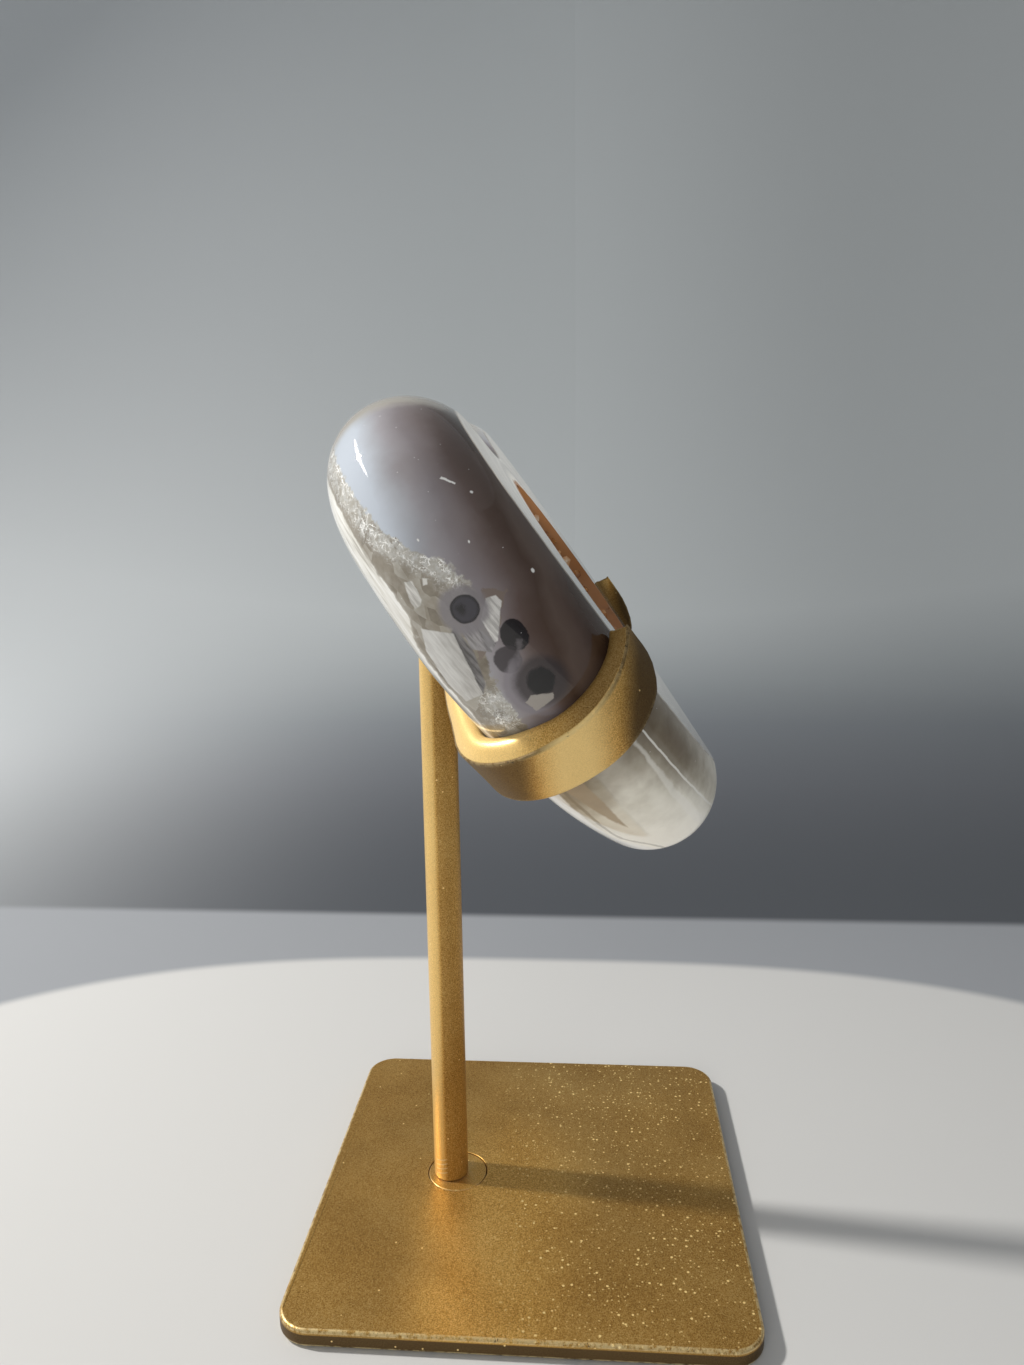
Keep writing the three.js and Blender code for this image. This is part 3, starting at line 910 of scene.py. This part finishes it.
def heart_rings():
    """Rings of the stone from the bottom of the pocket, over the face and edge, to the back."""
    rings = []
    face_steps, pocket_steps, edge_steps, dome_steps = 8, 14, 22, 12
    border = outline(FACE_INSET)
    rim = [pocket_rim(p) for p in border]
    middle = Vector((0, POCKET_CENTRE))
    for step in range(pocket_steps + 1):
        reach = math.sin(math.pi / 2 * step / pocket_steps)
        depth = (POCKET_DEPTH + CRYSTAL_BED) * math.cos(math.pi / 2 * step / pocket_steps)
        rings.append([(middle.lerp(p, reach), depth) for p in rim])
    for step in range(1, face_steps):
        rings.append([(a.lerp(b, step / face_steps), 0) for a, b in zip(rim, border, strict=True)])
    for step in range(edge_steps + 1):
        depth, inset = face_edge(FACE_TURN * (1 - step / edge_steps))
        rings.append([(p, depth) for p in outline(inset)])
    for step in range(1, edge_steps + 1):
        depth, inset = back_edge(BACK_TURN * step / edge_steps)
        rings.append([(p, depth) for p in back_outline(inset)])
    shoulder = back_outline(BACK_INSET)
    crown = Vector((0, HEART_HEIGHT / 2))
    for step in range(1, dome_steps + 1):
        reach = 1 - step / dome_steps
        depth = THICKNESS - BACK_DOME * reach ** 2
        rings.append([(crown.lerp(p, reach), depth) for p in shoulder])
    return [[Vector((p.x, depth, p.y)) for p, depth in ring] for ring in rings]


def stone_origin(rings):
    """The tip's place in the part's frame, found by laying the stone's box on the solid's box."""
    turned_points = [UPRIGHT @ p for ring in rings for p in ring]
    low = Vector(min(p[axis] for p in turned_points) for axis in range(3))
    high = Vector(max(p[axis] for p in turned_points) for axis in range(3))
    solid_low, solid_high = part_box("agate_heart")
    return (solid_low + solid_high) / 2 - (low + high) / 2


def agate_heart(rings, origin):
    heart = loft("polished_heart", [[origin + UPRIGHT @ p for p in ring] for ring in rings])
    smooth_shade(heart, 14)
    set_up(heart, "heart", "agate", agate("polished agate", origin), "agate_heart")
    return heart


def one_crystal():
    """A six-sided crystal of unit width with a pointed end, standing on its root."""
    bpy.ops.mesh.primitive_cone_add(vertices=6, radius1=0.5, radius2=0.06, depth=0.6)
    crystal = bpy.context.object
    pick_underside(crystal)
    bpy.ops.mesh.extrude_region_move(TRANSFORM_OT_translate={"value": (0, 0, -0.9)})
    bpy.ops.transform.resize(value=(0.8, 0.8, 1))
    bpy.ops.object.mode_set(mode="OBJECT")
    return crystal


def druse_crystals(origin):
    """Crystals grown over the pocket's wall, each one a little turned and sized by chance."""
    crystal = one_crystal()
    lining = bmesh.new()
    golden = math.pi * (3 - math.sqrt(5))
    for index in range(CRYSTAL_COUNT):
        reach = min(math.sqrt((index + 0.5) / CRYSTAL_COUNT) + chance.gauss(0, 0.02), 1) * BED_MARGIN
        turn = index * golden + chance.gauss(0, 0.9 * CRYSTAL_WIDTH / POCKET_WIDTH / reach)
        rim = pocket_rim(Vector((math.cos(turn), math.sin(turn) + POCKET_CENTRE)))
        flat = Vector((0, POCKET_CENTRE)).lerp(rim, reach)
        depth = (POCKET_DEPTH + CRYSTAL_BED) * math.sqrt(1 - reach ** 2)
        spot = Vector((flat.x, depth, flat.y))
        inward = Vector((
            -flat.x / (POCKET_WIDTH / 2) ** 2,
            -depth / POCKET_DEPTH ** 2,
            -(flat.y - POCKET_CENTRE) / (POCKET_HEIGHT / 2) ** 2)).normalized()
        lean = Vector([chance.gauss(0, CRYSTAL_TILT) for _ in range(3)])
        grow = (inward + lean).normalized()
        size = CRYSTAL_WIDTH * chance.uniform(*CRYSTAL_SIZES) * (0.7 + 0.5 * (1 - reach))
        facing = grow.to_track_quat("Z", "Y").to_matrix() @ Matrix.Rotation(chance.uniform(0, 3), 3, "Z")
        place = Matrix.LocRotScale(
            origin + UPRIGHT @ (spot + grow * size * CRYSTAL_LIFT),
            (UPRIGHT @ facing).to_quaternion(),
            Vector((size, size, size * chance.uniform(*CRYSTAL_LENGTHS))))
        copy = crystal.data.copy()
        copy.transform(place)
        lining.from_mesh(copy)
        bpy.data.meshes.remove(copy)
    heights = [v.co.z for v in crystal.data.vertices]
    bpy.data.objects.remove(crystal)
    mesh = bpy.data.meshes.new("druse_crystals")
    lining.to_mesh(mesh)
    lining.free()
    druse_piece = bpy.data.objects.new("druse_crystals", mesh)
    bpy.context.scene.collection.objects.link(druse_piece)
    shares = mesh.attributes.new("root", "FLOAT", "POINT")
    tones = mesh.attributes.new("tone", "FLOAT", "POINT")
    for index, height in enumerate(heights * CRYSTAL_COUNT):
        shares.data[index].value = 1 if height < 0 else 0
        tones.data[index].value = noise.cell(Vector((index // len(heights), 0.5, 0.5)))
    set_up(druse_piece, "heart", "agate", druse("druse quartz", origin))


# Cradle

def side_station(height, depth, inset, out_turn):
    """A place on the stone's side, with the directions out of the stone and up along it."""
    radius = SIDE_RADIUS - inset
    angle = math.asin((height - SIDE_CENTRE.y) / radius)
    wall = Vector((math.cos(angle), 0, math.sin(angle)))
    out = wall * math.cos(out_turn) + Vector((0, math.sin(out_turn), 0))
    place = Vector((SIDE_CENTRE.x, depth, SIDE_CENTRE.y)) + wall * radius
    return place, out, Vector((-math.sin(angle), 0, math.cos(angle)))


def face_edge_heading(turn):
    nudge = 1e-4
    depth_before, inset_before = face_edge(turn - nudge)
    depth_after, inset_after = face_edge(turn + nudge)
    return math.atan2(inset_before - inset_after, depth_before - depth_after)


def square_to_path(stations):
    """Turns each up direction square to the way that the bar takes there."""
    squared = []
    for i, (place, out, up) in enumerate(stations):
        before = stations[max(i - 1, 0)][0]
        after = stations[min(i + 1, len(stations) - 1)][0]
        along = (after - before).normalized()
        squared.append((place, out, (up - along * up.dot(along)).normalized()))
    return squared


def front_station(share, end_rise):
    """A place on the bar's front, from 0 at the stone's widest line to 1 at the end on the face."""
    depth, inset = face_edge(WRAP * share)
    height = SIDE_HEIGHT + end_rise * share ** 2
    return side_station(height, depth, inset, face_edge_heading(WRAP * share))


def back_stations():
    """Places along the bar's back half, from the stone's widest line to the middle of the back."""
    side_steps, bend_steps, back_steps = 8, 22, 26
    bend_depth = THICKNESS - BACK_BEND
    side_length = bend_depth - WIDEST_DEPTH
    bend_end = side_length + BACK_BEND * math.pi / 2
    climb = bend_end + side_station(SIDE_HEIGHT + BACK_RISE, THICKNESS, BACK_BEND, 0)[0].x
    stations = []
    for step in range(side_steps):
        run = side_length * step / side_steps
        height = SIDE_HEIGHT + BACK_RISE * ease(run / climb)
        stations.append(side_station(height, WIDEST_DEPTH + run, 0, 0))
    for step in range(bend_steps + 1):
        turn = math.pi / 2 * step / bend_steps
        height = SIDE_HEIGHT + BACK_RISE * ease((side_length + BACK_BEND * turn) / climb)
        depth = bend_depth + BACK_BEND * math.sin(turn)
        stations.append(side_station(height, depth, BACK_BEND * (1 - math.cos(turn)), turn))
    corner, _, corner_up = stations[-1]
    for step in range(1, back_steps + 1):
        share = step / back_steps
        run = bend_end + (climb - bend_end) * share
        height = SIDE_HEIGHT + BACK_RISE * ease(run / climb)
        up = corner_up.lerp(Vector((0, 0, 1)), share).normalized()
        stations.append((Vector((corner.x * (1 - share), THICKNESS, height)), Vector((0, 1, 0)), up))
    return square_to_path(stations)


def bar_section(lip_share=1):
    """Points of the bar's section, out of the stone and up, each with its share of edge wear.

    The upper side swells from a crisp outer edge to a round lip against the stone."""
    inner, outer, half = BAR_GAP, BAR_GAP + BAR_THICKNESS, BAR_WIDTH / 2
    rise = LIP_RISE * lip_share
    corners = (
        (outer, half, EDGE_ROUND, 0, 4, 1, rise),
        (inner, half + rise, LIP_ROUND, 1, 9, 0, 0),
        (inner, -half, LOWER_ROUND, 2, 6, 0, 0),
        (outer, -half, EDGE_ROUND, 3, 4, 1, 0),
    )
    arcs = []
    for out, up, radius, quarter, steps, worn, swell in corners:
        centre_out = out - math.copysign(radius, out - (inner + outer) / 2)
        centre_up = up - math.copysign(radius, up)
        turns = [math.pi / 2 * (quarter + step / steps) for step in range(steps + 1)]
        arcs.append(([
            (centre_out + radius * math.cos(t), centre_up + radius * math.sin(t), worn)
            for t in turns], swell))
    points = []
    for (arc, swell), (following, _) in zip(arcs, arcs[1:] + arcs[:1], strict=True):
        points += arc
        start, end = arc[-1], following[0]
        for share in (0.06, 0.2, 0.35, 0.5, 0.65, 0.8, 0.94):
            rounded = math.sin(math.pi / 2 * share) if swell else share
            points.append((
                start[0] + (end[0] - start[0]) * share, start[1] + (end[1] - start[1]) * rounded, 0))
    return points


def front_rings(end_rise):
    """Rings from the stone's widest line to the bar's end, whose corners and edges are rounded."""
    end = front_station(1, end_rise)[0]
    length = (front_station(0.5, end_rise)[0] - end).length
    length += (front_station(0.5, end_rise)[0] - front_station(0, end_rise)[0]).length
    middle = BAR_GAP + BAR_THICKNESS / 2

    def ring(share, squeeze):
        points = []
        for out, up, _ in bar_section(1 - share ** 2):
            corner_round = UPPER_CORNER if up > 0 else LOWER_CORNER
            corner = max(abs(up) - (BAR_WIDTH / 2 - corner_round), 0)
            pull = corner_round - math.sqrt(max(corner_round ** 2 - corner ** 2, 0))
            place, outward, upward = front_station(share * (1 - pull / length), end_rise)
            narrow = middle + (out - middle) * (1 - 2 * squeeze / BAR_THICKNESS)
            points.append(place + outward * narrow + upward * up * (1 - 2 * squeeze / BAR_WIDTH))
        return points

    steps, round_steps = 26, 6
    straight = 1 - END_ROUND / length
    rings = [ring(straight * step / steps, 0) for step in range(1, steps + 1)]
    worn = [[w for _, _, w in bar_section()] for _ in rings]
    for step in range(1, round_steps + 1):
        turn = math.pi / 2 * step / round_steps
        share = straight + (1 - straight) * math.sin(turn)
        rings.append(ring(share, END_ROUND * (1 - math.cos(turn))))
        worn.append([0.7] * len(rings[0]))
    worn[-1] = [0] * len(rings[0])
    return rings, worn


def cradle_rings():
    """Rings of the whole bar, from the far end over the back to the near end."""
    section = bar_section()
    flip = Vector((-1, 1, 1))
    far_front, far_worn = front_rings(FAR_END_RISE)
    near_front, near_worn = front_rings(NEAR_END_RISE)
    half = back_stations()
    half_rings = [[place + out * o + up * u for o, u, _ in section] for place, out, up in half]
    plain = [[w for _, _, w in section] for _ in half]
    rings = far_front[::-1] + half_rings
    rings += [[p * flip for p in ring] for ring in half_rings[-2::-1] + near_front]
    return rings, far_worn[::-1] + plain + plain[1:] + near_worn


def dented(point):
    """Small unevenness left by bending and painting."""
    wave = noise.noise_vector(point * 160) * 0.06 * MM
    return point + wave + noise.noise_vector(point * 900) * 0.015 * MM


def leaning_lip(ring, stone):
    """Leans the upper part of a ring on the stone where the bar bends away from it."""
    section = bar_section()
    lip = max(range(len(section)), key=lambda i: section[i][1] - 2 * section[i][0])
    low_inner = min(range(len(section)), key=lambda i: abs(section[i][1]) + 9 * section[i][0])
    low_outer = min(range(len(section)), key=lambda i: abs(section[i][1]) - 9 * section[i][0])
    inward = (ring[low_inner] - ring[low_outer]).normalized()
    met, spot, _, _ = stone.ray_cast(ring[lip] - inward * BAR_THICKNESS, inward)
    if not met:
        return ring
    gap = (spot - ring[lip]).dot(inward)
    lean = min(max(gap - LIP_CLEARANCE, 0), LIP_LEAN)
    leaned = []
    for point, (out, up, _) in zip(ring, section, strict=True):
        share = ease(up / (BAR_WIDTH / 2)) * (1 - ease((out - BAR_GAP) / BAR_THICKNESS))
        leaned.append(point + inward * lean * share)
    return leaned


def cradle_band(origin, stone):
    rings, worn = cradle_rings()
    rings = [[origin + UPRIGHT @ dented(p) for p in ring] for ring in rings]
    rings = [leaning_lip(ring, stone) for ring in rings]
    outer = [out > BAR_GAP + 0.9 * BAR_THICKNESS for out, _, _ in bar_section()]
    crease = [worn and up > 0 for _, up, worn in bar_section()]
    sides = {"outer_side": [outer] * len(rings), "crease": [crease] * len(rings)}
    band = loft("cradle_bar", rings, worn_edge=worn, **sides)
    smooth_shade(band, 50)
    gold = gold_paint(
        "cradle gold", metal=0.5, roughness=0.34, rub=0.15, bright=bar_painted_sheen, dull_and_painted_shade=bar_painted_shade)
    set_up(band, "stand", "gold_paint", gold, "cradle_band")


# Plate, bush and post

plate_low, plate_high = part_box("base_plate")
bush_low, bush_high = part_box("foot_bush")
post_low, post_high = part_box("post")
plate_top = plate_high.z
bush_centre = (bush_low + bush_high) / 2
bush_radius = (bush_high.x - bush_low.x) / 2
post_centre = Vector((0, (post_low.y + post_high.y) / 2, 0))
post_radius = (post_high.x - post_low.x) / 2


def on_slope(vertex):
    """1 where a surface is neither flat nor upright, as on a rounded edge."""
    return 1 if 0.2 < abs(vertex.normal.z) < 0.97 else 0


def base_plate(gold):
    size = plate_high - plate_low
    bpy.ops.mesh.primitive_cube_add(size=1, location=(plate_low + plate_high) / 2, scale=size)
    plate = bpy.context.object
    plate.name = "square_plate"
    bpy.ops.object.transform_apply(location=True, rotation=False, scale=True)
    bevel_where(plate, lambda middle, way: abs(way.z) > 0.9, PLATE_CORNER, 18)
    hole = bush_radius + FOOT_CLEARANCE
    bpy.ops.mesh.primitive_cylinder_add(
        vertices=HOLE_SIDES, radius=hole, depth=4 * size.z, location=bush_centre)
    cut_away(plate, bpy.context.object)

    def rim(middle, way):
        return abs(way.z) < 0.1 and (middle.xy - bush_centre.xy).length > hole * 1.05

    bevel_where(plate, rim, PLATE_ROUND, 6)

    def mouth(middle, way):
        close = (middle.xy - bush_centre.xy).length < hole * 1.01
        return abs(way.z) < 0.1 and close and middle.z > plate_top / 2

    bevel_where(plate, mouth, HOLE_ROUND, 3)

    # Rubbed paint on the rounded edges; near the hole it shows only on the rim's side towards the main
    # lamp and the camera, as a painted highlight.
    def wear(vertex):
        from_hole = vertex.co - bush_centre
        if from_hole.xy.length > 2 * hole:
            return on_slope(vertex)
        return on_slope(vertex) * ease(0.1 + (from_hole.y - 1.5 * from_hole.x) / hole)

    mark_points(plate, "worn_edge", wear)
    smooth_shade(plate, 35)
    flatten_shading(plate)
    set_up(plate, "stand", "gold_paint", gold, "base_plate")


def foot_bush(gold):
    depth = plate_top - BUSH_DROP
    bpy.ops.mesh.primitive_cylinder_add(
        vertices=ROD_SIDES, radius=bush_radius, depth=depth, location=(*bush_centre.xy, depth / 2))
    bush = bpy.context.object
    bush.name = "foot_plug"
    bpy.ops.object.transform_apply(location=True, rotation=False, scale=False)
    bore = SPIGOT_RADIUS + FOOT_CLEARANCE
    bpy.ops.mesh.primitive_cylinder_add(
        vertices=ROD_SIDES, radius=bore, depth=3 * plate_top, location=(*post_centre.xy, 0))
    cut_away(bush, bpy.context.object)

    def rim(middle, way):
        return abs(way.z) < 0.1 and (middle.xy - bush_centre.xy).length > bush_radius * 0.95

    bevel_where(bush, rim, BUSH_ROUND, 4)
    mark_points(bush, "worn_edge", lambda v: 0.5 * on_slope(v))
    smooth_shade(bush, 35)
    flatten_shading(bush)
    set_up(bush, "stand", "gold_paint", gold, "foot_bush")


def post():
    """The rod on its spigot, with its top cut to the slope of the cradle's back."""
    uncut = post_high.z + UNCUT_SPARE
    bpy.ops.mesh.primitive_cylinder_add(
        vertices=ROD_SIDES, radius=post_radius, depth=uncut - plate_top,
        location=(*post_centre.xy, (uncut + plate_top) / 2))
    rod = bpy.context.object
    rod.name = "round_post"
    bpy.ops.object.transform_apply(location=True, rotation=False, scale=False)
    pick_underside(rod)
    bpy.ops.mesh.inset(thickness=post_radius - SPIGOT_RADIUS)
    bpy.ops.mesh.extrude_region_move(TRANSFORM_OT_translate={"value": (0, 0, -plate_top)})
    bpy.ops.mesh.select_all(action="SELECT")
    slope = UPRIGHT @ Vector((0, -1, 0))
    tall_edge = post_centre + Vector((0, post_radius, post_high.z))
    bpy.ops.mesh.bisect(
        plane_co=tall_edge + slope * WELD_GAP * WELD_SHARE, plane_no=slope,
        use_fill=True, clear_outer=True)
    bpy.ops.object.mode_set(mode="OBJECT")

    def foot(middle, way):
        reach = (middle.xy - post_centre.xy).length
        return abs(way.z) < 0.1 and abs(middle.z - plate_top) < 0.01 * MM and reach > post_radius * 0.95

    bevel_where(rod, foot, FOOT_ROUND, 4)
    mark_points(rod, "worn_edge", lambda v: 0)
    smooth_shade(rod, 35)
    post_gold = gold_paint(
        "post gold", metal=0.62, roughness=0.36, rub=0.5,
        bright=post_painted_highlight, dull_and_painted_shade=post_painted_shade, marks=plier_marks)
    set_up(rod, "stand", "gold_paint", post_gold, "post")


# Studio

def sweep():
    """A round pale floor that curves up into a grey wall, darker towards the bottom and on one side,
    paler on the other, and darker low down in front.
    """
    floor_reach, curve, wall = 0.5, 0.4, 0.9
    level = -0.2 * MM
    profile = [(0, level), (floor_reach * 0.4, level)]
    for step in range(13):
        turn = math.pi / 2 * step / 12
        profile.append((
            floor_reach + curve * math.sin(turn), level + curve * (1 - math.cos(turn))))
    profile.append((floor_reach + curve, wall))
    steps = 96
    rings = []
    for radius, height in profile:
        turns = [2 * math.pi * i / steps for i in range(steps)]
        rings.append([Vector((radius * math.cos(t), radius * math.sin(t), height)) for t in turns])
    room = ring_grid("studio_sweep", rings)
    smooth_shade(room, 60)
    paper = Finish("studio paper")
    place = paper.coordinates()
    forward, aside, height = paper.split(place)
    run = forward + height
    wall = paper.ramp(paper.step(run, 120, 920), [
        (0, (0.07, 0.077, 0.09, 1)),
        (0.1, (0.13, 0.14, 0.16, 1)),
        (0.28, (0.22, 0.24, 0.265, 1)),
        (0.56, (0.42, 0.45, 0.47, 1)),
        (0.8, (0.6, 0.635, 0.65, 1)),
    ])
    wall = paper.mix(paper.step(aside, 40, 440) * 0.75, wall, (0.75, 0.78, 0.8, 1))
    wall = paper.mix(paper.step(aside, 40, -300) * 0.3, wall, (0.1, 0.11, 0.12, 1))
    low = paper.step(height, 60, 10)
    border = paper.step(forward, 128, 122) * low + paper.step(forward, 450, -150) * (1 - low)
    wall = paper.mix(border, wall, (0.3, 0.315, 0.34, 1))
    front = paper.ramp(paper.step(height, 0, 900), [
        (0, (0.2, 0.2, 0.21, 1)),
        (0.35, (0.45, 0.46, 0.47, 1)),
        (1, (0.85, 0.86, 0.87, 1)),
    ])
    wall = paper.mix(paper.step(forward, -250, -500), wall, front)
    corner = (abs(forward + 150) / 245) ** 3 + (abs(aside) / 205) ** 3
    board = paper.step(corner, 1.03, 0.97)
    tone = paper.mix(board, wall, (0.6, 0.6, 0.595, 1))
    room.data.materials.append(paper.done(Base_Color=tone, Roughness=0.95))


def lamp(name, place, target, size, power, roll=0):
    light = bpy.data.lights.new(name, "AREA")
    light.shape = "ELLIPSE"
    light.size, light.size_y = size
    light.energy = power
    light.color = LAMP_COLOUR
    holder = bpy.data.objects.new(name, light)
    holder.location = place
    aim = (target - place).to_track_quat("-Z", "Y").to_matrix()
    holder.rotation_euler = (aim @ Matrix.Rotation(roll, 3, "Z")).to_euler()
    bpy.context.scene.collection.objects.link(holder)
    return holder


def studio():
    middle = Vector((0, 0, 0.09))
    lamp("key", middle + KEY_WAY * KEY_DISTANCE, middle, KEY_SIZE, KEY_POWER)
    lamp("streak", middle + KEY_WAY * STREAK_DISTANCE, middle, STREAK_SIZE, STREAK_POWER, STREAK_SLANT)
    fill = lamp("fill", FILL_PLACE, middle, FILL_SIZE, FILL_POWER)
    fill.visible_glossy = False
    world = bpy.data.worlds.new("soft_sky")
    world.use_nodes = True
    sky = world.node_tree.nodes["Background"]
    sky.inputs["Color"].default_value = SKY_COLOUR
    sky.inputs["Strength"].default_value = SKY_STRENGTH
    bpy.context.scene.world = world
    bpy.context.scene.view_settings.view_transform = "Standard"


def camera():
    lens = bpy.data.cameras.new("photo_view")
    lens.sensor_width = SENSOR
    lens.lens = FOCAL_PIXELS / IMAGE_HEIGHT * SENSOR
    lens.clip_start = 0.01
    holder = bpy.data.objects.new("photo_view", lens)
    back = -CAMERA_FORWARD.normalized()
    right = CAMERA_UP.cross(back).normalized()
    turn = Matrix((right, back.cross(right), back)).transposed()
    holder.matrix_world = Matrix.Translation(CAMERA_PLACE) @ turn.to_4x4()
    bpy.context.scene.collection.objects.link(holder)
    bpy.context.scene.camera = holder


stone_rings = heart_rings()
tip_place = stone_origin(stone_rings)
stone_piece = agate_heart(stone_rings, tip_place)
druse_crystals(tip_place)
cradle_band(tip_place, stone_piece)
plate_gold = gold_paint(
    "plate gold", metal=0.76, roughness=0.3, rub=0.6, bright=plate_glitter, dull_and_painted_shade=plate_edge_and_painted_shade)
base_plate(plate_gold)
foot_bush(plate_gold)
post()
sweep()
studio()
camera()
